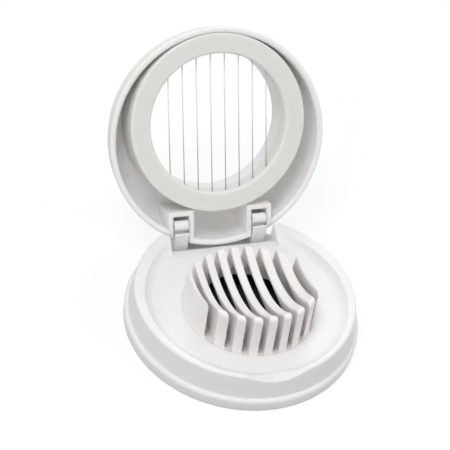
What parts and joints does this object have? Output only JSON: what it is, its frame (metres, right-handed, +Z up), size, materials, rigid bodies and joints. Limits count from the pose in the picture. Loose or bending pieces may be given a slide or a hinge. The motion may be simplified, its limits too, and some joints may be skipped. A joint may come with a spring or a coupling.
{
  "type": "egg slicer",
  "caption": "Round hinged egg slicer: a tray with a ribbed, slotted egg cradle and a domed lid whose open ring carries taut cutting wires.",
  "frame": {"origin": "centre of the tray's round foot, on the surface it stands on", "axes": "+X along the hinge, +Y from the front of the tray to the hinge at its back, +Z up"},
  "size_m": [0.114, 0.1615, 0.1065],
  "materials": {
    "tray_plastic": "satin",
    "cradle_plastic": "satin",
    "lid_plastic": "satin",
    "ring_plastic": "satin",
    "steel": "polished"
  },
  "bodies": {
    "base": {"base_tray": "tray_plastic", "egg_cradle": "cradle_plastic"},
    "lid": {"lid_shell": "lid_plastic", "wire_ring": "ring_plastic", "hinge_pin_left": "steel", "hinge_pin_right": "steel", "wire_1": "steel", "wire_2": "steel", "wire_3": "steel", "wire_4": "steel", "wire_5": "steel", "wire_6": "steel", "wire_7": "steel", "wire_8": "steel"}
  },
  "joints": [
    {"name": "lid_hinge", "type": "hinge", "parent": "base", "child": "lid", "pos_m": [0, 0.04667, 0.02025], "axis": [1, 0, 0], "range_deg": [0, 117.7]}
  ]
}
